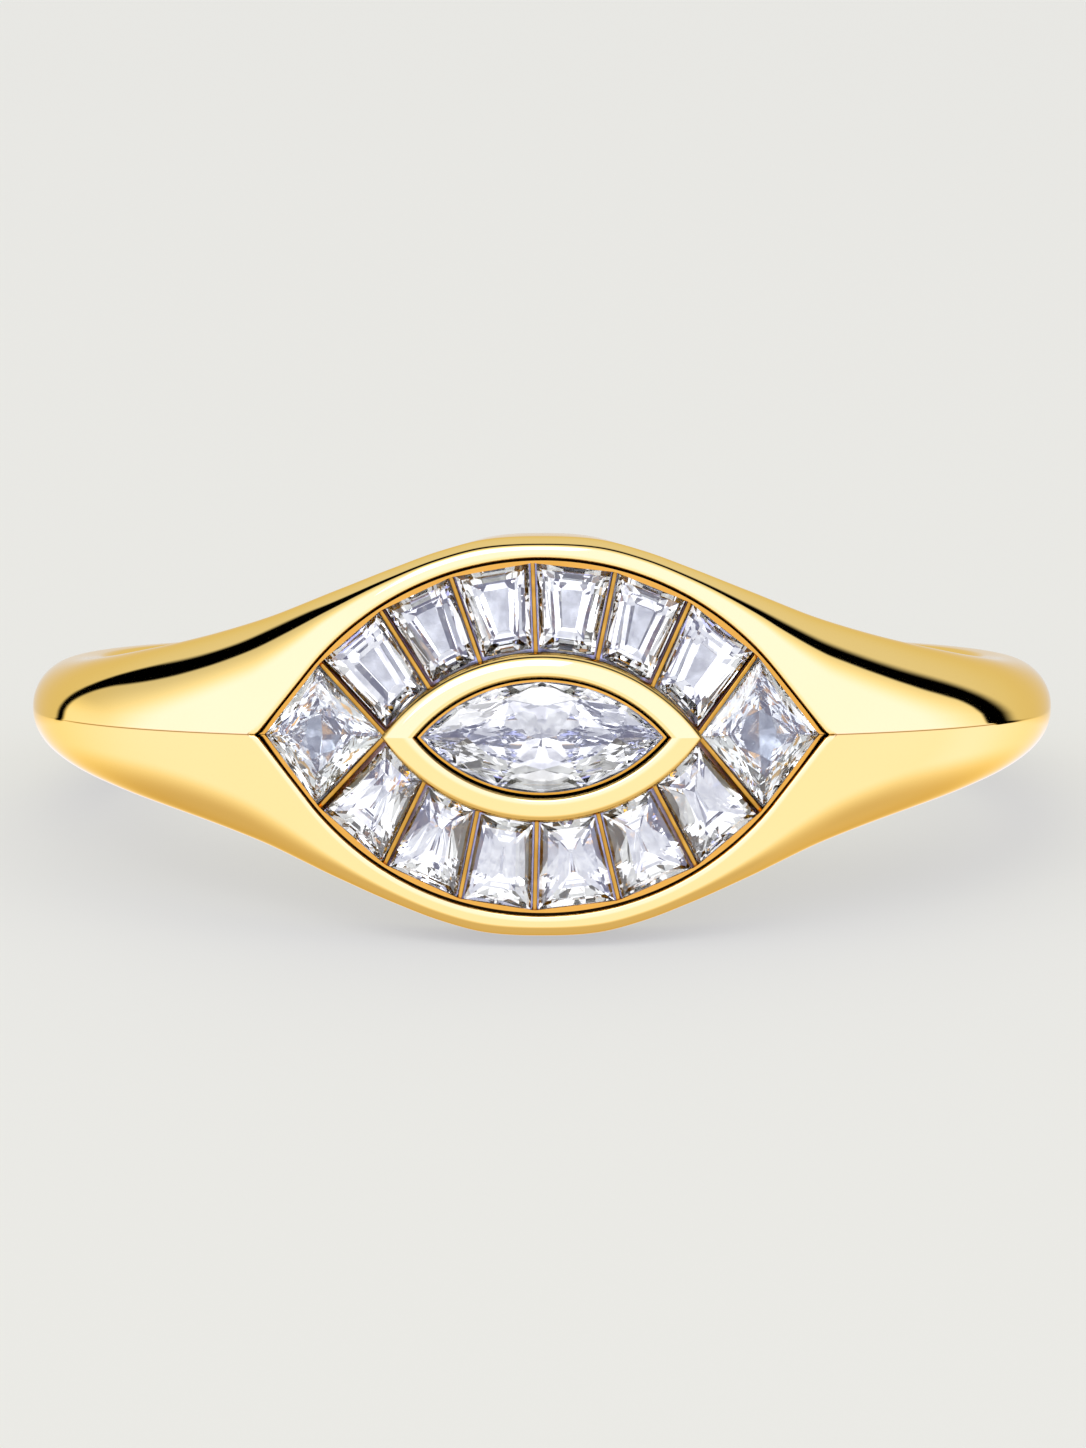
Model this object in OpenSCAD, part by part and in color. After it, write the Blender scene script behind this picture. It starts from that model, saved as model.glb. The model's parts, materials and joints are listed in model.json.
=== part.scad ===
// A polished gold ring with a marquise head. A marquise stone sits in a raised bezel, twelve tapered
// baguettes fan round it, and a square stone fills each point of the head. Thin walls part the stones.
// The ring lies on its side: the lower edge of the head and the back of the band touch the ground.
// All sizes are in millimetres and all angles in degrees.

/* [Finger hole and band] */
// Inside diameter of the band
bore_d = 17.3; // [16.5:0.1:18.1]
// Radius of the soft edge where the bore meets the sides of the band
comfort_r = 0.2; // [0.1:0.05:0.25]

/* [Head] */
// Height of the head over the bore, at its middle
head_rise = 1.85; // [1.75:0.05:2.1]
// Thickness of the band at its sides
side_wall = 1.47; // [1.3:0.01:1.6]
// Thickness of the band at its back
back_wall = 1.3; // [1.1:0.05:1.5]
// How flat the head is across the finger, 2 for a round one
head_flat = 3; // [2.6:0.1:3.4]
// How square the shoulders are, 2 for round ones
shoulder_square = 2.2; // [2:0.05:2.4]
// Length of the marquise opening, from point to point
opening_l = 10.96; // [10.6:0.02:11.1]
// Height of the marquise opening
opening_h = 6.84; // [6.7:0.02:6.9]
// Radius of the long curved sides of the opening
opening_r = 5.73; // [5.65:0.01:5.8]
// Depth of the ledge round the stones below the crest of the rim
ledge_depth = 0.22; // [0.18:0.02:0.26]

/* [Raised bezel] */
// Length of the bezel over its outside
bezel_l = 6.12; // [6:0.02:6.2]
// Height of the bezel over its outside
bezel_h = 3.24; // [3.16:0.02:3.28]
// Length of its mouth
mouth_l = 4.88; // [4.84:0.02:4.94]
// Height of its mouth
mouth_h = 2.3; // [2.28:0.02:2.34]
// Height of the crest of the bezel over the crest of the rim
bezel_rise = 0.3; // [0.24:0.02:0.36]
// Radius of the rounded crest of the bezel
bezel_round = 0.2; // [0.1:0.05:0.22]

/* [Stones] */
// Thickness of the walls between the stones
wall_t = 0.1; // [0.08:0.01:0.12]
// Free space round each stone
stone_gap = 0.025; // [0.02:0.005:0.03]
// Free space between a baguette's straight end and the curved bezel
bezel_clear = 0.06; // [0.06:0.01:0.09]
// Width of the ledge between the rim and the stones
ledge_w = 0.11; // [0.1:0.01:0.13]
// Height of the crown of a baguette or square stone
crown_h = 0.18; // [0.14:0.01:0.2]
// Thickness of the girdle of every stone
girdle_t = 0.06; // [0.05:0.01:0.07]
// Depth of the pavilion of a baguette or square stone
pavilion_h = 0.62; // [0.5:0.02:0.64]
// Height of the crown of the centre stone
centre_crown_h = 0.2; // [0.16:0.01:0.22]
// Depth of the pavilion of the centre stone
centre_pavilion_h = 0.86; // [0.7:0.02:0.88]

/* [Hidden] */

gold = [0.93, 0.74, 0.36];
clear = [0.93, 0.94, 0.97];

bore_r = bore_d / 2;
face_u = bore_r + head_rise;
side_r = bore_r + side_wall;
back_r = bore_r + back_wall;

// Sections round the ring. The angle runs from the middle of the head to the back of the band.
ANGLE = 0;       // angle of the section from the middle of the head
HALF_W = 1;      // half of its width along the finger
EDGE = 2;        // depth of its rounded edge below the crest
SQUARE = 3;      // how square the rounded edge is, 2 for an ellipse
SLOPE = 4;       // fall of the face away from the centre ridge
sections = [
    [0, 3.82, 0.36, 2.0, 0],
    [6, 3.76, 0.36, 2.0, 0],
    [11, 3.53, 0.38, 2.0, 0.02],
    [16, 3.2, 0.46, 2.0, 0.05],
    [22, 2.79, 0.66, 2.1, 0.1],
    [30, 2.29, 0.95, 2.3, 0.16],
    [36, 1.99, 1.1, 2.4, 0.19],
    [42, 1.74, 1.15, 2.4, 0.19],
    [49, 1.51, 1.15, 2.4, 0.17],
    [59, 1.27, 1.12, 2.3, 0.13],
    [73, 1.07, 1.1, 2.1, 0.06],
    [90, 0.97, 1.05, 2.0, 0],
    [120, 0.94, 0.98, 2.0, 0],
    [150, 0.93, 0.93, 2.0, 0],
    [180, 0.92, 0.92, 2.0, 0]];

// Where the walls between the stones end, from left to right, across the upper and the lower row
OUT_X = 0;       // end at the rim
IN_X = 1;        // end at the bezel
top_walls = [[-4.27, -2.93], [-3.08, -2.18], [-1.74, -1.2], [-0.18, -0.12], [1.4, 1.07], [2.82, 2.13],
    [4.18, 2.88]];
bottom_walls = [[-4.25, -2.93], [-3.0, -2.26], [-1.57, -1.24], [-0.14, -0.1], [1.46, 1.08],
    [2.94, 2.16], [4.25, 2.9]];

// The crest seen along the finger: a flattened oval in front, and nearly a circle at the back
function crest_u(x) = face_u * pow(1 - pow(abs(x) / side_r, head_flat), 1 / shoulder_square);
function lean(x) =
    let (across = head_flat * pow(abs(x) / side_r, head_flat - 1) / side_r)
    let (along = shoulder_square * pow(crest_u(x) / face_u, shoulder_square - 1) / face_u)
    sign(x) * atan(across / along);
function over_oval(r, a) = pow(r * sin(a) / side_r, head_flat) + pow(r * cos(a) / face_u, shoulder_square) > 1;
function oval_r(a, lo, hi, n = 30) =
    let (mid = (lo + hi) / 2)
    n == 0 ? mid : over_oval(mid, a) ? oval_r(a, lo, mid, n - 1) : oval_r(a, mid, hi, n - 1);
function crest_r(a) = a < 90 ? oval_r(a, bore_r, face_u + 2 * side_wall)
    : back_r + (side_r - back_r) * pow(sin(a), 2);

// Smooth curve through one column of the section table
function last_row(a, i = 0) = i >= len(sections) - 2 || a < sections[i + 1][ANGLE] ? i : last_row(a, i + 1);
function steepness(i, column) =
    let (lo = max(i - 1, 0), hi = min(i + 1, len(sections) - 1))
    i == 0 || i == len(sections) - 1 ? 0
    : (sections[hi][column] - sections[lo][column]) / (sections[hi][ANGLE] - sections[lo][ANGLE]);
function section_value(a, column) =
    let (i = last_row(a), span = sections[i + 1][ANGLE] - sections[i][ANGLE])
    let (t = (a - sections[i][ANGLE]) / span, t2 = t * t, t3 = t2 * t)
    (2 * t3 - 3 * t2 + 1) * sections[i][column] + (t3 - 2 * t2 + t) * span * steepness(i, column)
    + (3 * t2 - 2 * t3) * sections[i + 1][column] + (t3 - t2) * span * steepness(i + 1, column);

// The marquise opening: a long arc on each side, and straight flanks from the arcs to the points
opening_off = opening_r - opening_h / 2;
point_reach = sqrt(pow(opening_l / 2, 2) + opening_off * opening_off);
touch_a = atan(opening_off / (opening_l / 2)) + acos(opening_r / point_reach);
function opening_tip(out) = opening_l / 2 + out / cos(touch_a);
function opening_edge(x, out) =
    let (ax = abs(x), radius = opening_r + out, turn_x = radius * cos(touch_a))
    ax <= turn_x ? sqrt(radius * radius - x * x) - opening_off
    : max(0, (opening_tip(out) - ax) / tan(touch_a));

arc_steps = 14;
function opening_arc(out) =
    [for (k = [0 : arc_steps])
        let (a = touch_a + (180 - 2 * touch_a) * k / arc_steps)
        [(opening_r + out) * cos(a), (opening_r + out) * sin(a) - opening_off]];
function opening_outline(out) =
    let (upper = opening_arc(out))
    concat([[opening_tip(out), 0]], upper, [[-opening_tip(out), 0]],
        [for (k = [arc_steps : -1 : 0]) [upper[k][0], -upper[k][1]]]);

// Crest of the rim beside the opening, which closes to the centre ridge past the points
crest_out = 0.1;
ridge_half = 0.02;
crest_tip = opening_tip(crest_out);
tip_a = atan(crest_tip / crest_u(crest_tip));
function crest_z(a) = a >= tip_a ? ridge_half
    : max(ridge_half, opening_edge(crest_r(a) * sin(a), crest_out));

// One half of the section at angle a, as [radius, height] from the centre ridge round to the bore. Its
// inner end runs on into the bore, which the drill then cuts clean.
edge_steps = 6;
run_on = 0.05;
core = 0.4;
function half_section(a) =
    let (r0 = crest_r(a), z0 = crest_z(a), w = section_value(a, HALF_W), deep = section_value(a, EDGE))
    let (power = 2 / section_value(a, SQUARE), fall = section_value(a, SLOPE), in_z = w - comfort_r)
    concat([[r0, 0], [r0, z0]],
        [for (k = [1 : edge_steps])
            let (t = 90 * k / edge_steps, z = z0 + (w - z0) * pow(sin(t), power))
            [r0 - deep * (1 - pow(cos(t), power)) - fall * (z - z0), z]],
        [for (k = [0 : 3])
            [bore_r + comfort_r - (comfort_r + run_on) * sin(30 * k), in_z + comfort_r * cos(30 * k)]],
        [[bore_r - core, in_z]]);
function full_section(a) =
    let (half = half_section(abs(a)), n = len(half))
    concat(half, [for (k = [n - 1 : -1 : 1]) [half[k][0], -half[k][1]]]);

// Stations round the ring: close together over the head, wider at the back
head_steps = 10;
side_steps = 12;
back_steps = 11;
half_stations = concat([for (k = [0 : head_steps]) tip_a * k / head_steps],
    [for (k = [1 : side_steps]) tip_a + (90 - tip_a) * k / side_steps],
    [for (k = [1 : back_steps]) 90 + 90 * k / back_steps]);
stations = concat(half_stations, [for (k = [len(half_stations) - 2 : -1 : 1]) -half_stations[k]]);

// Lie of the ring: it tips over until the head and the back of the band touch the ground together
function tilted_z(p, tilt) = -p[0] * sin(tilt) + p[1] * cos(tilt);
function lowest(points, tilt) = min([for (p = points) tilted_z(p, tilt)]);
function furthest(points, tilt) = max([for (p = points) abs(p[0] * cos(tilt) + p[1] * sin(tilt))]);
front_points = [for (p = half_section(0)) [-p[0], -p[1]]];
back_points = [for (p = half_section(180)) [p[0], -p[1]]];
function rest_tilt(lo = 2, hi = 16, n = 24) =
    let (mid = (lo + hi) / 2)
    n == 0 ? mid
    : lowest(front_points, mid) < lowest(back_points, mid) ? rest_tilt(mid, hi, n - 1)
    : rest_tilt(lo, mid, n - 1);
tilt = rest_tilt();
lift = -lowest(back_points, tilt);
back_reach = furthest([for (p = back_points) [p[0], -p[1]]], tilt);
front_reach = furthest(front_points, tilt);
shift_y = (front_reach - back_reach) / 2;

module as_it_lies() {
    translate([0, shift_y, lift])
        rotate([-tilt, 0, 0])
            children();
}

// The face frame: x along the head, y up the head, z out of the head from the axis of the bore
module on_face() {
    rotate([90, 0, 0])
        children();
}

// A lens of two arcs, length l and height h
function lens_r(l, h) = (l * l + h * h) / (4 * h);
function lens_edge(x, l, h) = sqrt(pow(lens_r(l, h), 2) - x * x) - lens_r(l, h) + h / 2;
module lens(l, h) {
    off = lens_r(l, h) - h / 2;
    intersection() {
        translate([0, off])
            circle(r = lens_r(l, h), $fn = 720);
        translate([0, -off])
            circle(r = lens_r(l, h), $fn = 720);
    }
}

// A solid lens with a rounded crest, made of two turned discs that share the space of the lens
module crested_disc(r, bottom, top, round_r) {
    rotate_extrude($fn = 360)
        union() {
            translate([0, bottom])
                square([r, top - bottom - round_r]);
            translate([0, bottom])
                square([r - round_r, top - bottom]);
            translate([r - round_r, top - round_r])
                circle(r = round_r, $fn = 48);
        }
}
module crested_lens(l, h, bottom, top, round_r) {
    off = lens_r(l, h) - h / 2;
    intersection() {
        translate([0, off, 0])
            crested_disc(lens_r(l, h), bottom, top, round_r);
        translate([0, -off, 0])
            crested_disc(lens_r(l, h), bottom, top, round_r);
    }
}

// Inner and outer end of a line beside a wall, at the given distance across the wall
function rim_point(x) = [x, opening_edge(x, -ledge_w)];
function bezel_point(x) = [x, lens_edge(x, bezel_l, bezel_h)];
function wall_line(wall, distance) =
    let (run = rim_point(wall[OUT_X]) - bezel_point(wall[IN_X]), dx = distance * norm(run) / run[1])
    [bezel_point(wall[IN_X] + dx) + [0, bezel_clear], rim_point(wall[OUT_X] + dx)];

// Corners of the space between two walls, counter-clockwise from the inner left one, on the upper side
beside = wall_t / 2 + stone_gap;
function fan_cell(walls, i) =
    let (left = wall_line(walls[i], beside), right = wall_line(walls[i + 1], -beside))
    [left[0], right[0], right[1], left[1]];

function mirrored(points) = [for (k = [len(points) - 1 : -1 : 0]) [points[k][0], -points[k][1]]];
function middle(points) = [for (c = [0, 1]) ([for (p = points) p[c]] * [for (p = points) 1]) / len(points)];

top_cells = [for (i = [0 : 5]) fan_cell(top_walls, i)];
bottom_cells = [for (i = [0 : 5]) mirrored(fan_cell(bottom_walls, i))];

// The square stones: one corner in the point of the head, one at the bezel, two between the walls
point_clear = 0.05;
function end_cell(side) =
    let (i = side < 0 ? 0 : 6)
    let (upper = wall_line(top_walls[i], side * beside)[1], lower = wall_line(bottom_walls[i], side * beside)[1])
    let (near = [side * (bezel_l / 2 + bezel_clear), 0], far = [side * (opening_tip(-ledge_w) - point_clear), 0])
    let (cell = [near, [lower[0], -lower[1]], far, upper])
    side > 0 ? cell : mirrored([for (p = cell) [p[0], -p[1]]]);

// Offset of a convex counter-clockwise outline, inwards for a positive distance
function edge_normal(points, i) =
    let (d = points[(i + 1) % len(points)] - points[i])
    [-d[1], d[0]] / norm(d);
function inset(points, by) =
    [for (i = [0 : len(points) - 1])
        let (n = len(points), a = edge_normal(points, (i + n - 1) % n), b = edge_normal(points, i))
        points[i] + by * (a + b) / (1 + a * b)];
function raised(points, z) = [for (p = points) [p[0], p[1], z]];

// A solid with flat facets through all the given corners
module facets(corners) {
    hull()
        polyhedron(points = corners, faces = [[for (i = [0 : len(corners) - 1]) i]]);
}

// The girdle of a stone lies a little under the ledge and leans with the crest
girdle_sink = 0.08;
girdle_depth = ledge_depth + girdle_sink;
function girdle_u(x) = crest_u(x) - girdle_depth / cos(lean(x));
function seat_outline(cell) =
    let (c = middle(cell))
    [for (p = cell) [(p[0] - c[0]) / cos(lean(c[0])), p[1] - c[1]]];

module on_dome(c) {
    as_it_lies()
        on_face()
            translate([c[0], c[1], girdle_u(c[0])])
                rotate([0, lean(c[0]), 0])
                    children();
}

// Step cut: a table, two steps on the crown and three on the pavilion, down to a short keel
STEP_IN = 0;     // how far the step is set in, as a share of the stone's narrower sides
STEP_Z = 1;      // its height over the top of the girdle
baguette_steps = [
    [0.24, crown_h],
    [0.1, 0.6 * crown_h],
    [0, 0],
    [0, -girdle_t],
    [0.16, -girdle_t - 0.42 * pavilion_h],
    [0.3, -girdle_t - 0.75 * pavilion_h],
    [0.43, -girdle_t - pavilion_h]];
module baguette(cell) {
    outline = seat_outline(cell);
    narrow = min([for (i = [0, 1]) norm(outline[i] - outline[i + 1])]);
    color(clear)
        on_dome(middle(cell))
            facets([for (step = baguette_steps) each raised(inset(outline, step[STEP_IN] * narrow), step[STEP_Z])]);
}

// Point between two corners of an outline, pulled towards its middle
function part_way(a, b, t, pull) = (a + (b - a) * t) * (1 - pull);

// Square brilliant: a table, star and corner facets on the crown, and chevrons down to the culet
ALONG = 0;       // place of the facet corners, 0 at the stone's own corners and 0.5 midway between them
PULL = 1;        // how far they are drawn in towards its middle
CUT_Z = 2;       // their height over the top of the girdle
square_cut = [
    [0, 0.38, crown_h],
    [0.5, 0.3, 0.86 * crown_h],
    [0, 0.14, 0.5 * crown_h],
    [0, 0, 0],
    [0, 0, -girdle_t],
    [0.5, 0.22, -girdle_t - 0.42 * pavilion_h],
    [0, 0.4, -girdle_t - 0.5 * pavilion_h],
    [0.5, 0.55, -girdle_t - 0.74 * pavilion_h],
    [0, 0.7, -girdle_t - 0.84 * pavilion_h],
    [0, 1, -girdle_t - pavilion_h]];
module square_brilliant(cell) {
    outline = seat_outline(cell);
    color(clear)
        on_dome(middle(cell))
            facets([for (cut = square_cut, i = [0 : 3])
                let (p = part_way(outline[i], outline[(i + 1) % 4], cut[ALONG], cut[PULL]))
                [p[0], p[1], cut[CUT_Z]]]);
}

// Marquise brilliant: rings of corners on smaller and smaller lenses, some turned half a step
centre_sink = 0.3;
centre_u = face_u + bezel_rise - centre_sink;
centre_l = mouth_l - 0.28;
centre_h = mouth_h - 0.2;
LONG = 0;        // length of the ring of corners, as a share of the stone's length
HIGH = 1;        // its height, as a share of the stone's height
CORNERS = 2;     // how many corners it has
TURN = 3;        // how many steps it is turned
RING_Z = 4;      // its height over the top of the girdle
centre_cut = [
    [0.62, 0.58, 8, 0, centre_crown_h],
    [0.78, 0.8, 8, 0.5, 0.72 * centre_crown_h],
    [1, 1, 16, 0, 0],
    [1, 1, 16, 0, -girdle_t],
    [0.7, 0.62, 8, 0.5, -girdle_t - 0.46 * centre_pavilion_h],
    [0.45, 0.36, 8, 0, -girdle_t - 0.7 * centre_pavilion_h],
    [0.12, 0.05, 4, 0, -girdle_t - centre_pavilion_h]];
function lens_ring(cut) =
    [for (k = [0 : cut[CORNERS] - 1])
        let (t = 360 * (k + cut[TURN]) / cut[CORNERS], x = centre_l / 2 * cos(t))
        let (y = lens_edge(x, centre_l, centre_h) * (sin(t) >= 0 ? 1 : -1))
        [x * cut[LONG], y * cut[HIGH], cut[RING_Z]]];
module centre_stone() {
    color(clear)
        as_it_lies()
            on_face()
                translate([0, 0, centre_u])
                    facets([for (cut = centre_cut) each lens_ring(cut)]);
}

// The outer form of the whole ring, one skin through all the sections
module outer_form() {
    rings = [for (a = stations) [for (p = full_section(a)) [p[0] * sin(a), -p[0] * cos(a), p[1]]]];
    n = len(rings);
    m = len(rings[0]);
    points = [for (ring = rings) each ring];
    faces = [for (i = [0 : n - 1], j = [0 : m - 1])
        let (i2 = (i + 1) % n, j2 = (j + 1) % m)
        each [[i * m + j, i2 * m + j2, i2 * m + j], [i * m + j, i * m + j2, i2 * m + j2]]];
    polyhedron(points = points, faces = faces);
}

// The shallow recess inside the rim, down to the tops of the walls, which follow the crest
floor_steps = 24;
module recess() {
    end_x = opening_l / 2 + 0.2;
    floor_line = [for (k = [-floor_steps : floor_steps])
        let (x = end_x * k / floor_steps)
        [x, crest_u(x) - ledge_depth / cos(lean(x))]];
    intersection() {
        translate([0, 0, face_u - 2])
            linear_extrude(height = 3)
                polygon(opening_outline(0));
        translate([0, opening_h, 0])
            rotate([90, 0, 0])
                linear_extrude(height = 2 * opening_h)
                    polygon(concat([[-end_x, face_u + 1]], floor_line, [[end_x, face_u + 1]]));
    }
}

// A straight-walled seat under one stone
under_stone = 0.1;
module seat(cell) {
    c = middle(cell);
    floor_u = girdle_u(c[0]) - girdle_t - pavilion_h - under_stone;
    translate([0, 0, floor_u])
        linear_extrude(height = face_u + 1 - floor_u)
            polygon(inset(cell, -stone_gap));
}

bezel_root = 1.1;
module bezel() {
    difference() {
        crested_lens(bezel_l, bezel_h, face_u - bezel_root, face_u + bezel_rise, bezel_round);
        translate([0, 0, centre_u])
            linear_extrude(height = 1)
                lens(mouth_l, mouth_h);
    }
}

module centre_seat() {
    floor_u = centre_u - girdle_t - centre_pavilion_h - under_stone;
    translate([0, 0, floor_u])
        linear_extrude(height = centre_u - floor_u + 0.1)
            lens(centre_l + 0.1, centre_h + 0.06);
}

module ring_body() {
    color(gold)
        as_it_lies()
            difference() {
                union() {
                    difference() {
                        outer_form();
                        on_face() {
                            recess();
                            for (cell = concat(top_cells, bottom_cells, [end_cell(-1), end_cell(1)]))
                                seat(cell);
                        }
                    }
                    on_face()
                        bezel();
                }
                on_face()
                    centre_seat();
                cylinder(r = bore_r, h = 20, center = true, $fn = 180);
            }
}

ring_body();
centre_stone();  // stone_centre
square_brilliant(end_cell(-1));  // stone_end_left
square_brilliant(end_cell(1));  // stone_end_right
baguette(top_cells[0]);  // stone_top_1
baguette(top_cells[1]);  // stone_top_2
baguette(top_cells[2]);  // stone_top_3
baguette(top_cells[3]);  // stone_top_4
baguette(top_cells[4]);  // stone_top_5
baguette(top_cells[5]);  // stone_top_6
baguette(bottom_cells[0]);  // stone_bottom_1
baguette(bottom_cells[1]);  // stone_bottom_2
baguette(bottom_cells[2]);  // stone_bottom_3
baguette(bottom_cells[3]);  // stone_bottom_4
baguette(bottom_cells[4]);  // stone_bottom_5
baguette(bottom_cells[5]);  // stone_bottom_6
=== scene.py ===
import json
import math

import bpy
from mathutils import Matrix, Vector


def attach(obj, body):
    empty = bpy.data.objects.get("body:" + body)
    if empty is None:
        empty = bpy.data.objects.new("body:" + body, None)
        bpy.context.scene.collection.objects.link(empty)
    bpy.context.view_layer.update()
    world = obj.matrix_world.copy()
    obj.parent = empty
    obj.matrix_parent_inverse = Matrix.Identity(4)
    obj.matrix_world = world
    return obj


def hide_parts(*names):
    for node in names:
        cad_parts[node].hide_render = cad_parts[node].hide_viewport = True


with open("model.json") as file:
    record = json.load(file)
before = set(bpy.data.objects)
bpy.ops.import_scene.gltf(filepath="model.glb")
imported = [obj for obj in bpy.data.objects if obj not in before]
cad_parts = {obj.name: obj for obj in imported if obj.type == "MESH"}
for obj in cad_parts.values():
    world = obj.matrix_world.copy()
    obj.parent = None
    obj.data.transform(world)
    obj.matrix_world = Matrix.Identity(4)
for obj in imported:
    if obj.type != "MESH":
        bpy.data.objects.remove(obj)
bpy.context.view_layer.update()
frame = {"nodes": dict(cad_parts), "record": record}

# Everything is drawn in the ring's own frame, in millimetres: the bore's axis is Z and the head faces -Y.
# A place over the head is given by x, its height z in the photo's view, and u, its distance from the bore's
# axis towards the viewer. A painted shade from 0 to 1 says how dark a point of the gold is drawn: shade
# painted into its colour.

# Sizes of the ring, in millimetres, as in the solids
MM = 0.001
HOLE = frame["record"]["mounts"][0]
BORE_R = HOLE["dims"]["r_mm"]
COMFORT_R = 0.2
HEAD_RISE, SIDE_WALL, BACK_WALL = 1.85, 1.47, 1.3
FACE_U, SIDE_R, BACK_R = BORE_R + HEAD_RISE, BORE_R + SIDE_WALL, BORE_R + BACK_WALL
HEAD_FLAT, SHOULDER_SQUARE = 3.0, 2.2
OPENING_L, OPENING_H, OPENING_R = 10.96, 6.84, 5.73
LEDGE_DEPTH, LEDGE_W = 0.22, 0.11
BEZEL_L, BEZEL_H, BEZEL_RISE = 6.12, 3.24, 0.3
MOUTH_L, MOUTH_H = 4.88, 2.3
BEZEL_CLEAR, POINT_CLEAR = 0.06, 0.05

# These are a little less than in the solids, which need more room round the stones
STONE_GAP, WALL_T, PIT_DEPTH = 0.005, 0.085, 1.04

# Sections round the ring: angle from the middle of the head, half width, depth of the rounded edge,
# how square that edge is, and fall of the face away from the centre ridge
SECTIONS = (
    (0, 3.82, 0.36, 2.0, 0.0),
    (6, 3.76, 0.36, 2.0, 0.0),
    (11, 3.53, 0.38, 2.0, 0.02),
    (16, 3.2, 0.46, 2.0, 0.05),
    (22, 2.79, 0.66, 2.1, 0.1),
    (30, 2.29, 0.95, 2.3, 0.16),
    (36, 1.99, 1.1, 2.4, 0.19),
    (42, 1.74, 1.15, 2.4, 0.19),
    (49, 1.51, 1.15, 2.4, 0.17),
    (59, 1.27, 1.12, 2.3, 0.13),
    (73, 1.07, 1.1, 2.1, 0.06),
    (90, 0.97, 1.05, 2.0, 0.0),
    (120, 0.94, 0.98, 2.0, 0.0),
    (150, 0.93, 0.93, 2.0, 0.0),
    (180, 0.92, 0.92, 2.0, 0.0),
)
ANGLE, HALF_W, EDGE, SQUARE, SLOPE = range(5)

# Where the walls between the stones end, at the rim and at the bezel, from left to right: +1 is the upper
# row. The outermost walls differ a little from those of the solids, to meet at the bezel's points.
WALLS = {
    +1: ((-4.24, -3.05), (-3.08, -2.18), (-1.74, -1.2), (-0.18, -0.12),
         (1.4, 1.07), (2.82, 2.13), (4.1, 3.04)),
    -1: ((-4.25, -3.05), (-3.0, -2.26), (-1.57, -1.24), (-0.14, -0.1),
         (1.46, 1.08), (2.94, 2.16), (4.18, 3.05)),
}
ROWS = ((+1, "top"), (-1, "bottom"))


# Where the ring lies
def ring_frame():
    """From the ring's own frame in millimetres to where it lies on the ground, in metres."""
    axis = Vector(HOLE["axis"]).normalized()
    across = Vector((1, 0, 0))
    turn = Matrix((across, axis.cross(across), axis)).transposed().to_4x4()
    return Matrix.Translation(HOLE["pos_m"]) @ turn @ Matrix.Scale(MM, 4)


LIE = ring_frame()
HALVINGS = 40


def halving(low, high, is_past):
    """The value between low and high at which is_past turns true."""
    for _ in range(HALVINGS):
        middle = (low + high) / 2
        low, high = (low, middle) if is_past(middle) else (middle, high)
    return (low + high) / 2


def quarter(k, steps):
    """Sine and cosine at step k of a quarter turn."""
    t = math.pi / 2 * k / steps
    return math.sin(t), max(0.0, math.cos(t))


# The crest, seen along the finger: a flattened oval in front, and nearly a circle at the back
def crest_u(x):
    """Distance of the crest towards the viewer."""
    return FACE_U * (1 - (abs(x) / SIDE_R) ** HEAD_FLAT) ** (1 / SHOULDER_SQUARE)


def lean(x):
    """Angle by which the face of the head falls away at x."""
    across = HEAD_FLAT * (abs(x) / SIDE_R) ** (HEAD_FLAT - 1) / SIDE_R
    along = SHOULDER_SQUARE * (crest_u(x) / FACE_U) ** (SHOULDER_SQUARE - 1) / FACE_U
    return math.copysign(math.atan(across / along), x)


def crest_r(deg):
    """Radius of the crest at an angle from the middle of the head."""
    a = math.radians(deg)
    if deg >= 90:
        return BACK_R + (SIDE_R - BACK_R) * math.sin(a) ** 2
    return halving(BORE_R, FACE_U + 2 * SIDE_WALL, lambda r: (r * math.sin(a) / SIDE_R) ** HEAD_FLAT
                   + (r * math.cos(a) / FACE_U) ** SHOULDER_SQUARE > 1)


def under_crest_u(x, depth):
    """Distance towards the viewer of the level a given depth under the crest."""
    return crest_u(x) - depth / math.cos(lean(x))


def under_crest_r(deg, depth):
    """Radius at which the level a given depth under the crest is met, over the head."""
    a = math.radians(deg)
    return halving(BORE_R, crest_r(deg), lambda r: r * math.cos(a) > under_crest_u(r * math.sin(a), depth))


def section_value(deg, column):
    """A column of the sections at an angle, on a smooth curve through its rows."""
    i = max(k for k in range(len(SECTIONS) - 1) if k == 0 or deg >= SECTIONS[k][ANGLE])

    def steepness(k):
        if k in (0, len(SECTIONS) - 1):
            return 0
        before, after = SECTIONS[k - 1], SECTIONS[k + 1]
        return (after[column] - before[column]) / (after[ANGLE] - before[ANGLE])

    span = SECTIONS[i + 1][ANGLE] - SECTIONS[i][ANGLE]
    t = (deg - SECTIONS[i][ANGLE]) / span
    return ((2 * t**3 - 3 * t**2 + 1) * SECTIONS[i][column] + (t**3 - 2 * t**2 + t) * span * steepness(i)
            + (3 * t**2 - 2 * t**3) * SECTIONS[i + 1][column] + (t**3 - t**2) * span * steepness(i + 1))


# The marquise opening: two long arcs, with straight runs that touch them and meet in the points
OPENING_OFF = OPENING_R - OPENING_H / 2
TOUCH = (math.atan(OPENING_OFF / (OPENING_L / 2))
         + math.acos(OPENING_R / math.hypot(OPENING_L / 2, OPENING_OFF)))


def opening_tip(out):
    """Half length of the marquise opening, moved outwards by out."""
    return OPENING_L / 2 + out / math.cos(TOUCH)


def opening_edge(x, out):
    """Height of the marquise opening at x, moved outwards by out."""
    ax, radius = abs(x), OPENING_R + out
    if ax <= radius * math.cos(TOUCH):
        return math.sqrt(radius**2 - x**2) - OPENING_OFF
    return max(0.0, (opening_tip(out) - ax) / math.tan(TOUCH))


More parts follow.
